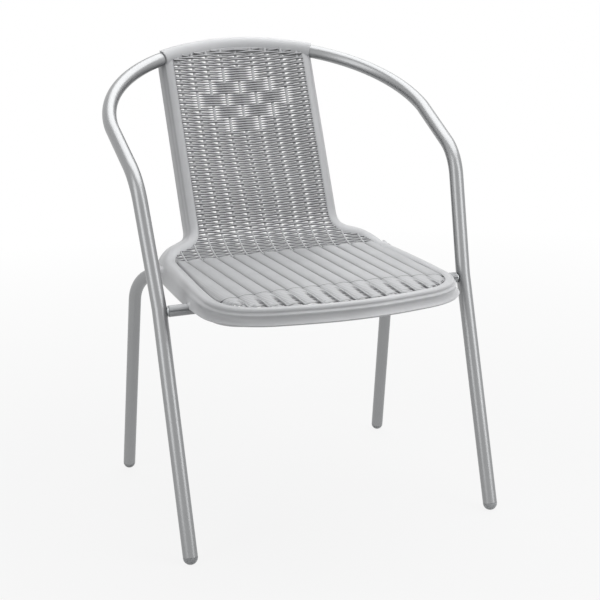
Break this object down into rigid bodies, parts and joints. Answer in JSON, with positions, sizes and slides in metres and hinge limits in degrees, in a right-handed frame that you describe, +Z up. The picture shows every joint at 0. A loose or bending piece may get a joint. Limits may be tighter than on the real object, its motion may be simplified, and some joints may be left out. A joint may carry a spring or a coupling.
{
  "type": "bistro armchair",
  "caption": "Stacking armchair with a bent tube hoop and rear frame, and a moulded rattan-look seat and back shell with a rolled rim.",
  "frame": {"origin": "on the floor under the middle of the chair", "axes": "+Z up, -Y the way the sitter faces, +X to the sitter's left"},
  "size_m": [0.5432, 0.5714, 0.7205],
  "materials": {
    "tube": "silver powder coat, satin",
    "shell": "light grey moulded plastic, satin",
    "cap": "grey plastic",
    "spacer": "grey plastic",
    "fastener": "zinc plated"
  },
  "bodies": {
    "root": {"front_hoop": "tube", "rear_frame": "tube", "seat_shell": "shell", "foot_cap_front_left": "cap", "foot_cap_front_right": "cap", "foot_cap_rear_left": "cap", "foot_cap_rear_right": "cap", "spacer_left": "spacer", "spacer_right": "spacer", "rivet_nut_left": "fastener", "rivet_nut_right": "fastener", "bolt_washer_left": "fastener", "bolt_washer_right": "fastener", "side_bolt_left": "fastener", "side_bolt_right": "fastener", "seat_screw_rear_left": "fastener", "seat_screw_rear_right": "fastener", "seat_screw_front_left": "fastener", "seat_screw_front_right": "fastener", "sleeve_screw_left": "fastener", "sleeve_screw_right": "fastener"}
  },
  "joints": []
}
